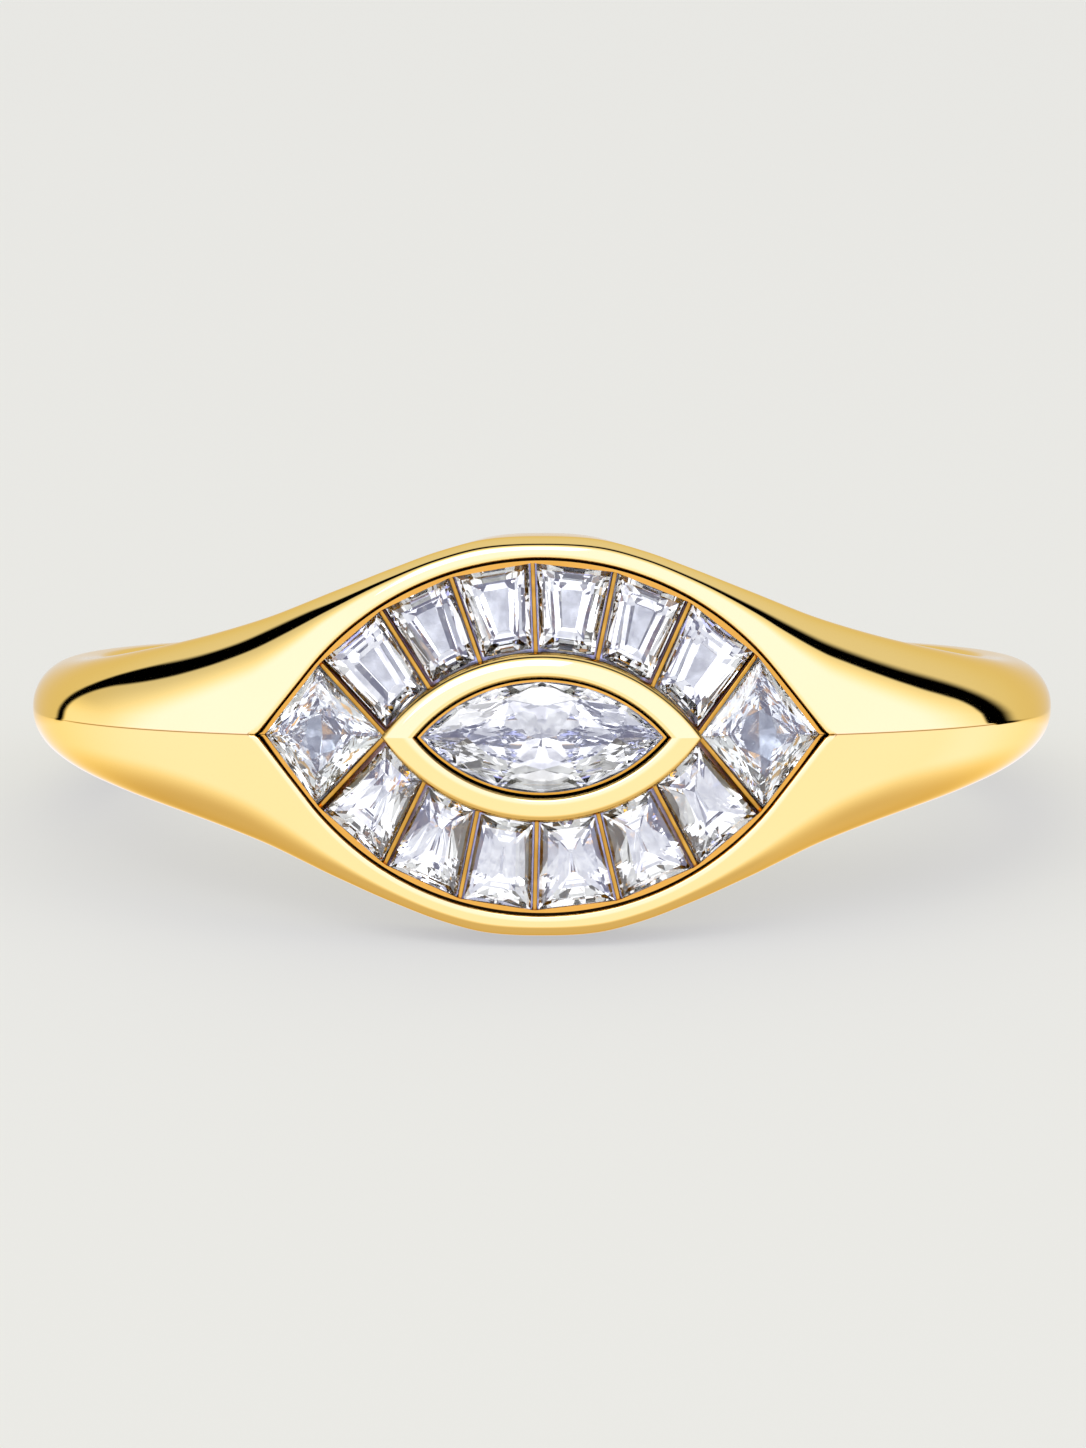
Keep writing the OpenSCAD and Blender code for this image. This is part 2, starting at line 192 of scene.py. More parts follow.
# The crest of the rim runs CREST_OUT outside the opening, and goes on as a ridge along the shoulders. Its
# corner at the point of the head is melted away, less and less over MELT_REACH.
CREST_OUT, RIDGE_HALF = 0.1, 0.02
MELT, MELT_REACH = 0.9, 2
CREST_TIP = opening_tip(CREST_OUT)
TIP_DEG = math.degrees(math.atan(CREST_TIP / crest_u(CREST_TIP)))


def crest_z(deg):
    """Height of the crest of the rim, or of half the ridge, at an angle."""
    if deg >= TIP_DEG:
        return RIDGE_HALF
    return max(RIDGE_HALF, opening_edge(crest_r(deg) * math.sin(math.radians(deg)), CREST_OUT))


def melted_crest_z(deg):
    """Height at which the rounding starts: the crest, with its corner at the head's point melted away."""
    x = crest_r(deg) * math.sin(math.radians(deg)) if deg < 90 else SIDE_R
    if x <= (OPENING_R + CREST_OUT) * math.cos(TOUCH):
        height = opening_edge(x, CREST_OUT)
    else:
        height = (CREST_TIP - x) / math.tan(TOUCH)
    soft = MELT * math.exp(-(max(0.0, height) / MELT_REACH) ** 2)
    return max(crest_z(deg), (height + math.hypot(height, soft)) / 2)


def lens_edge(x, length, height):
    """Height at x of a lens of two equal arcs."""
    r = (length**2 + height**2) / (4 * height)
    return math.sqrt(r**2 - x**2) - r + height / 2


def wall_line(wall, distance):
    """Ends of a line beside a wall, at the bezel and at the rim."""
    rim = Vector((wall[0], opening_edge(wall[0], -LEDGE_W)))
    bezel = Vector((wall[1], lens_edge(wall[1], BEZEL_L, BEZEL_H)))
    dx = distance * (rim - bezel).length / (rim.y - bezel.y)
    inner, outer = wall[1] + dx, wall[0] + dx
    return (Vector((inner, lens_edge(inner, BEZEL_L, BEZEL_H) + BEZEL_CLEAR)),
            Vector((outer, opening_edge(outer, -LEDGE_W))))


def seat_line(x, side):
    """Height of the outer ends of the stones at x, in straight runs from wall to wall."""
    far = opening_tip(-LEDGE_W) - POINT_CLEAR
    corners = [Vector((-far, 0))] + [wall_line(w, 0)[1] for w in WALLS[side]] + [Vector((far, 0))]
    for a, b in zip(corners, corners[1:]):
        if a.x <= x <= b.x:
            return a.y + (b.y - a.y) * (x - a.x) / (b.x - a.x) + STONE_GAP
    return 0.0


# Gold skin of the band and head
GOLD_FINISH, SEAT_FINISH, SHADE_FINISH, LIP_SHADE_FINISH = range(4)
# Shade painted on the ledge, and as a dark line along the ridge
LEDGE_SHADE, RIDGE_SHADE = 0.25, 0.8

# Steps round the ring: even over the head, and longer and longer towards the back
HEAD_STEPS, STEP_GROWTH = 84, 1.015

# Steps across it: pit, rounded edge of the rim, flat beside the crest, rounded edge, soft edge, bore.
# Seat, lip and wall end at these steps from the middle of the pit.
PIT_STEPS, RIM_STEPS, FLAT_STEPS, EDGE_STEPS, SOFT_STEPS, BORE_STEPS = 3, 5, 4, 20, 6, 3
SEAT_END, LIP_END, WALL_END = PIT_STEPS + 1, PIT_STEPS + 3, PIT_STEPS + 5
PIT_POINTS = WALL_END + RIM_STEPS + 1

# The lip against the stones, the wall over it that leans outwards, and the rounded edge of the rim, with
# shade painted on its inner side
LIP_DEPTH, LIP_SEAM = 0.09, 0.005
WALL_LEAN, RIM_R, RIM_SHADE, RIM_SHADE_STEP = 0.055, 0.04, 0.8, 0.3

# The pit stays a little open at the points of the head, and the dark line of shade painted along the ridge
# fades at the sides
POINT_HALF = 0.003
RIDGE_END_DEG, RIDGE_FADE_DEG = 68, 12


def pit_points(deg, side, crest_radius, crest_height):
    """(radius, height, painted shade) over the head, from the floor of the pit to the crest of the rim."""
    a = math.radians(abs(deg))
    pit_r, ledge_r, lip_r = (under_crest_r(abs(deg), depth) for depth in (PIT_DEPTH, LEDGE_DEPTH, LIP_DEPTH))

    def seat(r, out=0.0):
        x = math.copysign(r * math.sin(a), deg)
        return max(POINT_HALF, min(seat_line(x, side) + out, opening_edge(x, -WALL_LEAN)))

    foot = max(POINT_HALF, opening_edge(lip_r * math.sin(a), -WALL_LEAN))
    brow = max(POINT_HALF, min(opening_edge(crest_radius * math.sin(a), 0), crest_height))
    points = [(pit_r, seat(pit_r) * k / PIT_STEPS, 1.0) for k in range(PIT_STEPS + 1)]
    points += [(ledge_r, seat(ledge_r), 1.0),
               (lip_r, min(seat(lip_r, LIP_SEAM), foot), LEDGE_SHADE),
               (lip_r, foot, LEDGE_SHADE),
               ((lip_r + crest_radius - RIM_R) / 2, (foot + brow) / 2, 1.0)]
    for k in range(RIM_STEPS + 1):
        sine, cosine = quarter(k, RIM_STEPS)
        points.append((crest_radius - RIM_R * (1 - sine), min(crest_height, brow + RIM_R * (1 - cosine)),
                       max(0.0, RIM_SHADE - RIM_SHADE_STEP * k)))
    return points


def half_section(deg, side):
    """(radius, height, painted shade) of half a section, from the pit or the ridge over the crest to the
    bore.
    """
    turn = abs(deg)
    crest_height, start = crest_z(turn), melted_crest_z(turn)
    half_w, deep = section_value(turn, HALF_W), section_value(turn, EDGE)
    power, fall = 2 / section_value(turn, SQUARE), section_value(turn, SLOPE)
    crest_radius = crest_r(turn) + fall * (start - crest_height)
    if turn < TIP_DEG:
        points = pit_points(deg, side, crest_radius, crest_height)
    else:
        # The ridge gets a dark line of painted shade, which fades towards the sides
        ridge = RIDGE_SHADE * min(1.0, max(0.0, (RIDGE_END_DEG - turn) / RIDGE_FADE_DEG))
        points = [(crest_radius, 0.0, ridge)] * PIT_POINTS
    for k in range(FLAT_STEPS):
        away = (start - crest_height) * k / FLAT_STEPS
        points.append((crest_radius - fall * away, crest_height + away, 0.0))
    for k in range(EDGE_STEPS + 1):
        sine, cosine = quarter(k, EDGE_STEPS)
        z = start + (half_w - start) * sine ** power
        points.append((crest_radius - fall * (z - crest_height) - deep * (1 - cosine ** power), z, 0.0))
    points.append(((points[-1][0] + BORE_R + COMFORT_R) / 2, half_w, 0.0))
    for k in range(SOFT_STEPS + 1):
        sine, cosine = quarter(k, SOFT_STEPS)
        points.append((BORE_R + COMFORT_R * (1 - sine), half_w - COMFORT_R * (1 - cosine), 0.0))
    for k in reversed(range(BORE_STEPS)):
        points.append((BORE_R, (half_w - COMFORT_R) * k / BORE_STEPS, 0.0))
    return points


def whole_section(deg):
    """The closed section at an angle, as points (x, y, z, painted shade)."""
    upper, lower = half_section(deg, +1), half_section(deg, -1)
    loop = upper + [(r, -z, recess) for r, z, recess in lower[-2:0:-1]]
    a = math.radians(deg)
    return [(r * math.sin(a), -r * math.cos(a), z, recess) for r, z, recess in loop]


def select_nothing():
    bpy.ops.object.select_all(action="DESELECT")


# Points closer than WELD, in metres, are joined
WELD, GOLD_SMOOTH_DEG = 1e-7, 30


def rolled_sheet(name, loops, finish_of):
    """A flat grid rolled up: each row follows one loop of points, each with its painted shade, and its edges
    are joined.
    """
    rows, columns = len(loops), len(loops[0])
    select_nothing()
    bpy.ops.mesh.primitive_grid_add(size=1, x_subdivisions=columns, y_subdivisions=rows)
    piece = bpy.context.active_object
    piece.name = name
    for material in (gold, seat_metal, shade, lip):
        piece.data.materials.append(material)
    for face in piece.data.polygons:
        face.material_index = finish_of(int((face.center.x + 0.5) * columns))
    recess = piece.data.attributes.new("recess", "FLOAT", "POINT")
    for vertex in piece.data.vertices:
        row, column = round((vertex.co.y + 0.5) * rows), round((vertex.co.x + 0.5) * columns)
        *spot, recess.data[vertex.index].value = loops[row % rows][column % columns]
        vertex.co = LIE @ Vector(spot)
    bpy.ops.object.mode_set(mode="EDIT")
    bpy.ops.mesh.select_all(action="SELECT")
    bpy.ops.mesh.remove_doubles(threshold=WELD)
    bpy.ops.mesh.dissolve_degenerate(threshold=WELD)
    bpy.ops.mesh.normals_make_consistent(inside=False)
    bpy.ops.object.mode_set(mode="OBJECT")
    bpy.ops.object.shade_smooth_by_angle(angle=math.radians(GOLD_SMOOTH_DEG))
    return piece


def band():
    """Band, shoulders and head as one skin, with the seats of the stones and the bore."""
    half = [TIP_DEG * k / HEAD_STEPS for k in range(HEAD_STEPS + 1)]
    step = TIP_DEG / HEAD_STEPS
    while half[-1] < 180 - step:
        step *= STEP_GROWTH
        half.append(half[-1] + step)
    half[-1] = 180
    stations = half + [-deg for deg in half[-2:0:-1]]
    loops = [whole_section(deg) for deg in stations]

    def finish_of(column):
        step = min(column, len(loops[0]) - 1 - column)
        if step < SEAT_END:
            return SEAT_FINISH
        if step < LIP_END:
            return LIP_SHADE_FINISH
        return SHADE_FINISH if step < WALL_END else GOLD_FINISH

    return rolled_sheet("ring_band", loops, finish_of)


# Raised bezel round the centre stone: an upright flank, a rounded crest near its mouth, a wall and a lip
# The top FLANK_H of the flank is drawn in the black finish of gold in deep shade
BEZEL_ROOT, FLANK_H, BEZEL_LIP_RISE = 1.15, 0.25, 0.07
# Shade painted on the crest's outer edge, falling at each step, and down into the mouth, rising at each step
CREST_AT, CREST_ROUND, CREST_SHADE, CREST_SHADE_STEP = 0.8, 0.21, 0.7, 0.16
MOUTH_ROUND, MOUTH_DEG, MOUTH_SHADE, MOUTH_SHADE_STEP = 0.08, 80, 0.5, 0.14
LIP_L, LIP_H, LIP_RISE = 4.75, 2.2, 0.005
SEAT_L, SEAT_H, SEAT_EDGE = 4.63, 2.115, 0.01
SEAT_DRAFT_L, SEAT_DRAFT_H = 0.02, 0.015

# Steps round half the bezel, over its crest and into its mouth, and the step that is the wall inside it
BEZEL_STEPS, CREST_STEPS, MOUTH_STEPS = 96, 12, 9
BEZEL_WALL_STEP = 2 + CREST_STEPS + MOUTH_STEPS


def bezel_profile():
    """(length, height, u, painted shade) of the lens at each step over the bezel, from outer foot to seat.
    """
    top, root = FACE_U + BEZEL_RISE, FACE_U - BEZEL_ROOT

    def lens(share, u, recess):
        """The lens a share of the way from the outside to the mouth."""
        return (BEZEL_L + (MOUTH_L - BEZEL_L) * share, BEZEL_H + (MOUTH_H - BEZEL_H) * share, u, recess)

    steps = [lens(0, root, 1), lens(0, top - CREST_ROUND - FLANK_H, 1)]
    for k in range(CREST_STEPS + 1):
        sine, cosine = quarter(k, CREST_STEPS)
        steps.append(lens(CREST_AT * (1 - cosine), top - CREST_ROUND * (1 - sine),
                          max(0, CREST_SHADE - CREST_SHADE_STEP * k)))
    for k in range(1, MOUTH_STEPS + 1):
        t = math.radians(MOUTH_DEG) * k / MOUTH_STEPS
        steps.append(lens(CREST_AT + (1 - CREST_AT) * math.sin(t) / math.sin(math.radians(MOUTH_DEG)),
                          top - MOUTH_ROUND * (1 - math.cos(t)), max(0, MOUTH_SHADE_STEP * k - MOUTH_SHADE)))
    lip_u = FACE_U + BEZEL_LIP_RISE
    steps += [(LIP_L, LIP_H, lip_u, LEDGE_SHADE),
              (SEAT_L, SEAT_H, lip_u + LIP_RISE, LEDGE_SHADE),
              (SEAT_L - SEAT_EDGE, SEAT_H - SEAT_EDGE, lip_u - SEAT_EDGE, 1),
              (SEAT_L - SEAT_DRAFT_L, SEAT_H - SEAT_DRAFT_H, root, 1)]
    return steps


def bezel():
    """The raised bezel as one skin, from its outer foot over its crest to its seat."""
    loops = []
    for k in range(2 * BEZEL_STEPS):
        t = math.pi * k / BEZEL_STEPS
        loop = []
        for length, height, u, recess in bezel_profile():
            x = length / 2 * math.cos(t)
            z = lens_edge(x, length, height) if k % BEZEL_STEPS else 0.0
            loop.append((x, -u, z if k <= BEZEL_STEPS else -z, recess))
        loops.append(loop)

    def finish_of(column):
        if column == BEZEL_WALL_STEP + 1:
            return LIP_SHADE_FINISH
        if column == 0 or column > BEZEL_WALL_STEP:
            return SEAT_FINISH
        return SHADE_FINISH if column in (1, BEZEL_WALL_STEP) else GOLD_FINISH

    return rolled_sheet("bezel_rim", loops, finish_of)


# Thin walls between the stones, which run on into the bezel and the rim
INTO_BEZEL, INTO_RIM = 0.25, 0.18
WALL_CUTS, WALL_ROUND, WALL_ROUND_STEPS, WALL_SMOOTH_DEG = 6, 0.32, 4, 40
SAME = 1e-6


def stone_wall(name, wall, side):
    """A bar with a rounded top edge, laid from the bezel to the rim along the fall of the head."""
    inner, outer = wall_line(wall, 0)
    inner = inner - (outer - inner).normalized() * INTO_BEZEL
    outer = outer + (outer - inner).normalized() * INTO_RIM
    along = outer - inner
    across = Vector((along.y, -along.x)).normalized()
    deep = PIT_DEPTH - LEDGE_DEPTH
    select_nothing()
    bpy.ops.mesh.primitive_cube_add(size=1)
    bar = bpy.context.active_object
    bar.name = name
    bpy.ops.object.mode_set(mode="EDIT")
    bpy.ops.mesh.select_all(action="SELECT")
    bpy.ops.transform.resize(value=(along.length, WALL_T, deep))
    for k in range(1, WALL_CUTS):
        bpy.ops.mesh.select_all(action="SELECT")
        bpy.ops.mesh.bisect(plane_co=(along.length * (k / WALL_CUTS - 0.5), 0, 0), plane_no=(1, 0, 0))
    bpy.ops.mesh.select_mode(type="EDGE")
    bpy.ops.mesh.select_all(action="DESELECT")
    bpy.ops.object.mode_set(mode="OBJECT")
    mesh = bar.data
    for edge in mesh.edges:
        a, b = (mesh.vertices[i].co for i in edge.vertices)
        edge.select = a.z > 0 and b.z > 0 and abs(a.y - b.y) < SAME
    bpy.ops.object.mode_set(mode="EDIT")
    bpy.ops.mesh.bevel(offset=WALL_T * WALL_ROUND, segments=WALL_ROUND_STEPS, affect="EDGES")
    bpy.ops.object.mode_set(mode="OBJECT")
    # The walls are painted a dark amber, as the shade between the stones
    mesh.materials.append(shaded_wall_gold)
    for vertex in mesh.vertices:
        t = vertex.co.x / along.length + 0.5
        spot = inner + along * t + across * vertex.co.y
        u = under_crest_u(spot.x, LEDGE_DEPTH) + vertex.co.z - deep / 2
        vertex.co = LIE @ Vector((spot.x, -u, side * spot.y))
    bpy.ops.object.mode_set(mode="EDIT")
    bpy.ops.mesh.select_all(action="SELECT")
    bpy.ops.mesh.normals_make_consistent(inside=False)
    bpy.ops.object.mode_set(mode="OBJECT")
    bpy.ops.object.shade_smooth_by_angle(angle=math.radians(WALL_SMOOTH_DEG))
    return bar


# Stones in the points of the head, cut to fill the corners between the walls
CROWN_H, GIRDLE_T, GIRDLE_SINK, PAVILION_H = 0.18, 0.06, 0.08, 0.62
WALL_CLEAR, FACET_WELD = 0.015, 1e-4
BESIDE = WALL_T / 2 + WALL_CLEAR

# Step cut: how far each step is set in, as a share of the narrower side, and its height over the girdle
STEP_CUT = (
    (0.24, CROWN_H),
    (0.1, 0.6 * CROWN_H),
    (0, 0),
    (0, -GIRDLE_T),
    (0.16, -GIRDLE_T - 0.42 * PAVILION_H),
    (0.3, -GIRDLE_T - 0.75 * PAVILION_H),
    (0.43, -GIRDLE_T - PAVILION_H),
)

# Square brilliant: places of facet corners along a side, pull towards the middle, and height over the girdle
SQUARE_CUT = (
    ((0,), 0.4, CROWN_H),
    ((0.5,), 0.28, 0.92 * CROWN_H),
    ((0.25, 0.75), 0.16, 0.62 * CROWN_H),
    ((0,), 0.14, 0.5 * CROWN_H),
    ((0,), 0, 0),
    ((0,), 0, -GIRDLE_T),
    ((0.3, 0.7), 0.16, -GIRDLE_T - 0.3 * PAVILION_H),
    ((0.5,), 0.24, -GIRDLE_T - 0.45 * PAVILION_H),
    ((0,), 0.4, -GIRDLE_T - 0.5 * PAVILION_H),
    ((0.3, 0.7), 0.46, -GIRDLE_T - 0.66 * PAVILION_H),
    ((0.5,), 0.55, -GIRDLE_T - 0.76 * PAVILION_H),
    ((0,), 0.7, -GIRDLE_T - 0.84 * PAVILION_H),
    ((0,), 1, -GIRDLE_T - PAVILION_H),
)


def fan_cell(side, i):
    """Corners of the space between two walls, counter-clockwise."""
    left, right = wall_line(WALLS[side][i], BESIDE), wall_line(WALLS[side][i + 1], -BESIDE)
    cell = [left[0], right[0], right[1], left[1]]
    return cell if side > 0 else [Vector((p.x, -p.y)) for p in reversed(cell)]


def end_cell(side):
    """Corners of the space in a point of the head, counter-clockwise: -1 on the left and +1 on the right."""
    i = 0 if side < 0 else -1
    upper, lower = (wall_line(WALLS[row][i], side * BESIDE)[1] for row in (+1, -1))
    near, far = Vector((side * BEZEL_L / 2, 0)), Vector((side * (opening_tip(-LEDGE_W) - POINT_CLEAR), 0))
    cell = [near, Vector((lower.x, -lower.y)), far, upper]
    return cell if side > 0 else cell[::-1]


def sides_of(outline):
    """The two ends of each side of an outline."""
    return list(zip(outline, outline[1:] + outline[:1]))


def inset(outline, by):
    """An outline with each side moved inwards."""
    normals = [Vector((a.y - b.y, b.x - a.x)).normalized() for a, b in sides_of(outline)]
    return [p + (a + b) * (by / (1 + a.dot(b))) for p, a, b in zip(outline, normals[-1:] + normals, normals)]


def step_cut(outline):
    """Facet corners of a step cut on an outline, each with its height over the girdle."""
    narrow = min((outline[i] - outline[i + 1]).length for i in (0, 1))
    return [(p.x, p.y, out) for share, out in STEP_CUT for p in inset(outline, share * narrow)]


def square_cut(outline):
    """Facet corners of a square brilliant on an outline, each with its height over the girdle."""
    corners = []
    for places, pull, out in SQUARE_CUT:
        for t in places:
            spots = [a.lerp(b, t) * (1 - pull) for a, b in sides_of(outline)]
            corners += [(p.x, p.y, out) for p in spots]
    return corners


def seated_stone(name, cell, cut):
    """A stone with flat facets through all corners of its cut, laid on the fall of the head."""
    middle = sum(cell, Vector((0, 0))) / len(cell)
    tilt = lean(middle.x)
    corners = cut([Vector(((p.x - middle.x) / math.cos(tilt), p.y - middle.y)) for p in cell])
    girdle_u = crest_u(middle.x) - (LEDGE_DEPTH + GIRDLE_SINK) / math.cos(tilt)
    select_nothing()
    bpy.ops.mesh.primitive_circle_add(vertices=len(corners))
    piece = bpy.context.active_object
    piece.name = name
    for vertex, (x, z, out) in zip(piece.data.vertices, corners):
        u = girdle_u - x * math.sin(tilt) + out * math.cos(tilt)
        vertex.co = (middle.x + x * math.cos(tilt) + out * math.sin(tilt), -u, middle.y + z)
    bpy.ops.object.mode_set(mode="EDIT")
    bpy.ops.mesh.select_all(action="SELECT")
    bpy.ops.mesh.remove_doubles(threshold=FACET_WELD)
    bpy.ops.mesh.convex_hull(join_triangles=False)
    bpy.ops.mesh.delete_loose()
    bpy.ops.mesh.select_all(action="SELECT")
    bpy.ops.mesh.normals_make_consistent(inside=False)
    bpy.ops.object.mode_set(mode="OBJECT")
    for vertex in piece.data.vertices:
        vertex.co = LIE @ vertex.co
    return piece


# Finishes
class Value:
    """A shader socket that can be used in sums."""

    def __init__(self, nodes, socket):
        self.nodes, self.socket = nodes, socket

    def _math(self, operation, *terms):
        return self.nodes.add("ShaderNodeMath", {"operation": operation}, dict(enumerate(terms)))

    def __add__(self, other):
        return self._math("ADD", self, other)

    def __sub__(self, other):
        return self._math("SUBTRACT", self, other)

    def __rsub__(self, other):
        return self._math("SUBTRACT", other, self)

    def __mul__(self, other):
        return self._math("MULTIPLY", self, other)

    __radd__ = __add__
    __rmul__ = __mul__

    def power(self, other):
        return self._math("POWER", self, other)

    def at_least(self, other):
        return self._math("MAXIMUM", self, other)

    def smooth(self, low, high):
        """0 up to low, 1 from high on, and a soft rise between."""
        return self.nodes.add("ShaderNodeMapRange", {"interpolation_type": "SMOOTHSTEP"},
                              {"Value": self, "From Min": low, "From Max": high})


class Nodes:
    """The nodes of a finish or of the studio air."""

    def __init__(self, tree, end_type):
        self.tree = tree
        self.end = next(n for n in tree.nodes if n.type == end_type)

    def add(self, kind, settings=None, values=None, out=0):
        """A node with its settings, then the values or links of its sockets, given by one of its outputs."""
        made = self.tree.nodes.new(kind)
        for name, value in (settings or {}).items():
            setattr(made, name, value)
        self.feed(values or {}, made)
        return Value(self, made.outputs[out])

    def feed(self, values, made=None):
        made = made or self.end
        for name, value in values.items():
            if isinstance(value, Value):
                self.tree.links.new(value.socket, made.inputs[name])
            else:
                made.inputs[name].default_value = value

    def place(self, kind="Object"):
        return self.add("ShaderNodeTexCoord", out=kind)

    def noise(self, size_mm, detail=2.0):
        return self.add("ShaderNodeTexNoise", {}, {"Vector": self.place(), "Scale": 1 / (size_mm * MM),
                                                   "Detail": detail}, out="Fac")

    def mix(self, factor, first, second):
        first, second = (c if isinstance(c, Value) else (*c, 1) for c in (first, second))
        return self.add("ShaderNodeMix", {"data_type": "RGBA"}, {0: factor, 6: first, 7: second}, out=2)

    def bump(self, height, strength, distance_mm):
        return self.add("ShaderNodeBump", {}, {"Height": height, "Strength": strength,
                                               "Distance": distance_mm * MM})


def finish(name, colour):
    """A new material with its plain colour, and its nodes."""
    material = bpy.data.materials.new(name)
    material.use_nodes = True
    material.diffuse_color = (*colour, 1)
    return material, Nodes(material.node_tree, "BSDF_PRINCIPLED")


def polished_gold():
    material, nodes = finish("polished yellow gold", (0.93, 0.74, 0.36))
    # Where the painted shade is high, the gold's colour is painted darker, down to a deep amber: shade
    # painted on the rim's inner edge, along the ridge and over the bezel's edges
    recess = nodes.add("ShaderNodeAttribute", {"attribute_name": "recess"}, out="Fac")
    open_gold = nodes.mix(nodes.noise(3.5), (1.0, 0.73, 0.26), (1.0, 0.765, 0.31))
    nodes.feed({
        "Base Color": nodes.mix(recess.smooth(0.0, 0.8), open_gold, (0.36, 0.17, 0.03)),
        "Metallic": 1.0,
        "Specular Tint": (0.95, 0.78, 0.44, 1),
        "Roughness": nodes.noise(0.9, 3.0) * 0.03 + 0.03,
        "Normal": nodes.bump(nodes.noise(0.5, 1.0), 0.03, 0.01),
    })
    return material


def bright_seat():
    material, nodes = finish("bright cut seat", (0.9, 0.9, 0.92))
    nodes.feed({
        "Base Color": nodes.mix(nodes.noise(0.3), (0.25, 0.25, 0.27), (0.88, 0.89, 0.91)),
        "Metallic": 1.0,
        "Roughness": nodes.noise(0.2) * 0.1 + 0.12,
    })
    return material


def shaded_gold():
    material, nodes = finish("gold wall in deep shade", (0.06, 0.04, 0.02))
    nodes.feed({
        "Base Color": nodes.mix(nodes.noise(1.5), (0.006, 0.004, 0.002), (0.03, 0.016, 0.006)),
        "Metallic": 1.0,
        "Specular Tint": (0.03, 0.02, 0.01, 1),
        "Roughness": nodes.noise(0.3) * 0.1 + 0.2,
    })
    return material


# Gold of the walls between the stones, painted a dark amber for the shade that falls between them
def wall_gold_in_shade():
    material, nodes = finish("gold between the stones", (0.6, 0.4, 0.15))
    nodes.feed({
        "Base Color": nodes.mix(nodes.noise(0.35), (0.34, 0.15, 0.012), (0.80, 0.44, 0.06)),
        "Metallic": 1.0,
        "Specular Tint": (0.4, 0.2, 0.06, 1),
        "Roughness": nodes.noise(0.3) * 0.1 + 0.12,
    })
    return material


# Gold of the lip under the rim and in the bezel's mouth, painted a darker orange for the shade it lies in
def shaded_lip_gold():
    material, nodes = finish("gold lip against the stones", (0.85, 0.6, 0.25))
    nodes.feed({
        "Base Color": nodes.mix(nodes.noise(0.6), (0.66, 0.32, 0.035), (0.80, 0.40, 0.055)),
        "Metallic": 1.0,
        "Specular Tint": (0.6, 0.36, 0.12, 1),
        "Roughness": nodes.noise(0.4) * 0.08 + 0.08,
    })
    return material


def clear_stone(name, dark, bright):
    material, nodes = finish(name, (0.95, 0.96, 0.98))
    nodes.feed({
        # Patches of a darker and a lighter tint paint dark and bright glints into the stone
        "Base Color": nodes.mix(nodes.noise(0.25, 1.0).smooth(0.42, 0.58), dark, bright),
        "Roughness": 0.0,
        "IOR": 2.16,
        "Specular Tint": (1.0, 0.98, 0.82, 1),
        "Transmission Weight": 1.0,
    })
    return material


def pale_floor():
    material, nodes = finish("pale paper floor", (0.7, 0.7, 0.68))
    nodes.feed({
        "Base Color": nodes.mix(nodes.noise(40), (0.315, 0.315, 0.215), (0.325, 0.325, 0.225)),
        "Roughness": 0.9,
        "Specular IOR Level": 0.0,
        "Emission Color": (1.0, 0.985, 0.985, 1),
        "Emission Strength": 0.515,
    })
    return material


# The pieces, their bodies and their finishes
gold, seat_metal, shade = polished_gold(), bright_seat(), shaded_gold()
shaded_wall_gold, lip, paper = wall_gold_in_shade(), shaded_lip_gold(), pale_floor()
# The stones are painted darker or lighter by cut: the brilliant darkest, the step cuts lightest
brilliant = clear_stone("brilliant-cut zirconia", (0.52, 0.53, 0.54), (0.93, 0.95, 0.965))
square_stone = clear_stone("square-cut zirconia", (0.60, 0.64, 0.665), (0.94, 0.98, 1.0))
step_stone = clear_stone("step-cut zirconia", (0.73, 0.745, 0.76), (0.96, 0.98, 0.99))

gold_pieces = [band(), bezel()]
for side, row in ROWS:
    for number, wall in enumerate(WALLS[side], 1):
        gold_pieces.append(stone_wall(f"wall_{row}_{number}", wall, side))
for piece in gold_pieces:
    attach(piece, "root")
    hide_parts("ring_body")

seated = {"stone_end_left": (end_cell(-1), square_cut), "stone_end_right": (end_cell(+1), square_cut)}
for side, row in ROWS:
    seated[f"stone_{row}_1"] = (fan_cell(side, 0), step_cut)
    seated[f"stone_{row}_6"] = (fan_cell(side, 5), step_cut)
for name, (cell, cut) in seated.items():
    piece = seated_stone(f"{name}_cut", cell, cut)
    piece.data.materials.append(square_stone if cut is square_cut else step_stone)
    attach(piece, "root")
    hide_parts(name)

for name, node in frame["nodes"].items():
    if name.startswith("stone") and name not in seated:
        node.data.materials.clear()
        node.data.materials.append(brilliant if name == "stone_centre" else step_stone)


# Floor, light and camera
FLOOR_SIDE_M, BOUNCES = 4, 20


def lay_floor():
    select_nothing()
    bpy.ops.mesh.primitive_plane_add(size=FLOOR_SIDE_M)
    floor = bpy.context.active_object
    floor.name = "floor"
    floor.data.materials.append(paper)
    floor.visible_glossy = False


def soft_light(name, place, aim, size, radiance):
    """A soft box of the given width and height whose face has an even brightness."""
    lamp = bpy.data.lights.new(name, "AREA")
    lamp.shape, lamp.size, lamp.size_y = "RECTANGLE", size[0], size[1]
    lamp.energy = radiance * math.pi * size[0] * size[1]
    holder = bpy.data.objects.new(name, lamp)
    bpy.context.scene.collection.objects.link(holder)
    holder.location = place
    holder.rotation_euler = (Vector(aim) - Vector(place)).to_track_quat("-Z", "Y").to_euler()


# Brightness of the studio: low down in front and under, high up, and behind the dark strip
FRONT_LIGHT, UNDER_LOSS, BEHIND_RIGHT_GAIN = 1.15, 0.46, 0.07
HIGH_LIGHT, HIGH_LOSS = 1.33, 0.62
BEHIND_LIGHT = 0.79

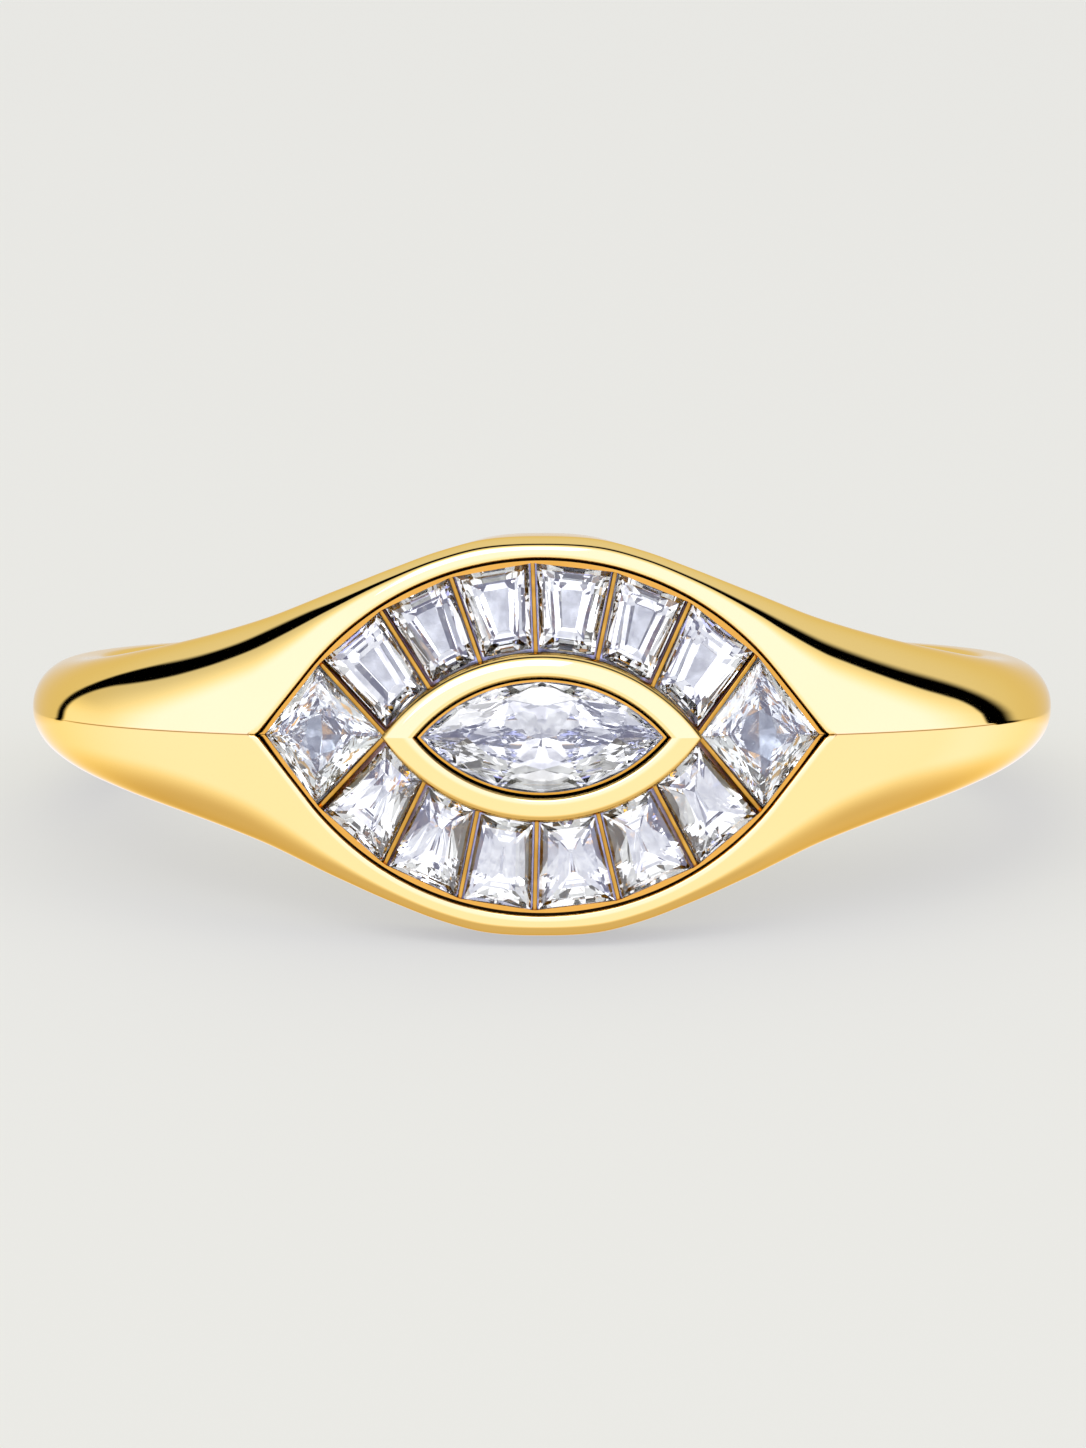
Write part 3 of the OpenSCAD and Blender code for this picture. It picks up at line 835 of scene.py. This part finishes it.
# The dark strip's two ovals: each pair is a value on the left, and what the right adds to it
TOP_TILT, TOP_START, TOP_SCALE = (0.12, -0.2), (0.374, -0.09), (6.2, -1)
BACK_START, NEAR_SCALE, FAR_SCALE = (0.6, -0.215), (5.56, -0.56), (4.69, -1.99)
FAR_EDGE, FAR_END, FAR_FLAT = (1, -0.08), (1.13, 0.09), 0.29

# Light through the stones is a little stronger, and has two dark rings round the viewer for dark facets
STONE_GAIN, RING_LOSS = 0.12, 0.97

# What is brighter than GLARE_FROM turns bluer, so that the gold shows it as cream
GLARE_FROM, GLARE_RED_LOSS, GLARE_BLUE_GAIN = 0.95, 0.6, 7


def studio_air():
    """Bright in front and under, dimmer behind, and between them one dark strip in an arch over the ring."""
    world = bpy.data.worlds.new("pale studio")
    bpy.context.scene.world = world
    world.use_nodes = True
    air = Nodes(world.node_tree, "BACKGROUND")
    to = air.place("Generated")

    def towards(x, y, z):
        """1 in this direction of the room, 0 square to it and -1 opposite."""
        return air.add("ShaderNodeVectorMath", {"operation": "DOT_PRODUCT"}, {0: to, 1: (x, y, z)},
                       out="Value")

    def across(left, added):
        return left + right * added

    front, rise, arch = towards(0, -1, 0), towards(0, 0, 1), towards(0, 0.669, 0.743)
    right = towards(1, 0, 0).smooth(-0.3, 0.3)
    under = towards(0, 0.2, -0.98).smooth(0.51, 0.79)
    behind_right = towards(0.62, 0.65, -0.4).smooth(0.78, 0.97)
    low = FRONT_LIGHT - under * UNDER_LOSS + behind_right * BEHIND_RIGHT_GAIN
    high = HIGH_LIGHT - arch.smooth(0.2, 0.58) * HIGH_LOSS
    light = low + (high - low) * rise.smooth(-0.08, 0.12)

    # The strip lies between a near and a far oval round the top and the back, and is thinner on the left.
    over = (arch + front * across(*TOP_TILT) - across(*TOP_START)).at_least(0) * across(*TOP_SCALE)
    back = (0 - front - across(*BACK_START)).at_least(0)
    near, far = back * across(*NEAR_SCALE), back * across(*FAR_SCALE)
    cover = (over * over + near * near).power(0.5).smooth(0.92, 1.1) * rise.smooth(-0.27, -0.2)
    behind = (over * over * FAR_FLAT + far * far).power(0.5).smooth(across(*FAR_EDGE), across(*FAR_END))
    light = light * (1 - cover) + cover * behind * BEHIND_LIGHT

    through = air.add("ShaderNodeLightPath", out="Is Transmission Ray")
    viewer = towards(0, -0.975, 0.22)
    near_ring = viewer.smooth(0.86, 0.87) * (1 - viewer.smooth(0.915, 0.925))
    far_ring = viewer.smooth(0.66, 0.67) * (1 - viewer.smooth(0.73, 0.74))
    light = light * (1 + through * STONE_GAIN) * (1 - (near_ring + far_ring) * through * RING_LOSS)

    excess = (light - GLARE_FROM).at_least(0)
    glare = excess * excess * (1 - through)
    colour = air.add("ShaderNodeCombineColor", {}, {
        "Red": light - glare * GLARE_RED_LOSS,
        "Green": light * (0.985 - under * 0.17),
        "Blue": light * (0.97 - under * 0.4) + glare * GLARE_BLUE_GAIN,
    })
    air.feed({"Color": colour, "Strength": 1.0})


# The photo's frame, the middle of the ring in it, and its scale in the plane of the bore's axis
PHOTO_W, PHOTO_H = 1086, 1448
CENTRE_PX, PX_PER_MM = (542.0, 704.0), 50.19

# The camera's distance from the bore's axis, and its angle above the ring's middle plane
CAM_DISTANCE, CAM_ABOVE_RING_DEG = 240.0, 3.45


def photo_camera():
    """The photo's view of the ring."""
    camera = bpy.data.cameras.new("camera")
    camera.sensor_fit, camera.sensor_width = "AUTO", 36
    camera.lens = PX_PER_MM * CAM_DISTANCE * camera.sensor_width / PHOTO_H
    camera.clip_start, camera.clip_end = 0.001, 10
    holder = bpy.data.objects.new("camera", camera)
    bpy.context.scene.collection.objects.link(holder)
    e = math.radians(CAM_ABOVE_RING_DEG)
    right, up = Vector((1, 0, 0)), Vector((0, math.sin(e), math.cos(e)))
    aim = (right * (PHOTO_W / 2 - CENTRE_PX[0]) - up * (PHOTO_H / 2 - CENTRE_PX[1])) / PX_PER_MM
    holder.location = LIE @ Vector((0, -CAM_DISTANCE * math.cos(e), CAM_DISTANCE * math.sin(e)))
    holder.rotation_euler = (LIE @ aim - holder.location).to_track_quat("-Z", "Y").to_euler()
    bpy.context.scene.camera = holder


lay_floor()
soft_light("front_box", place=(-0.10, -0.30, 0.32), aim=(0, 0, 0), size=(0.3, 0.2), radiance=2.2)
studio_air()
photo_camera()

scene = bpy.context.scene
scene.view_settings.view_transform = "Standard"
scene.cycles.use_denoising = True
scene.cycles.caustics_reflective = scene.cycles.caustics_refractive = False
scene.cycles.max_bounces = scene.cycles.transmission_bounces = scene.cycles.glossy_bounces = BOUNCES
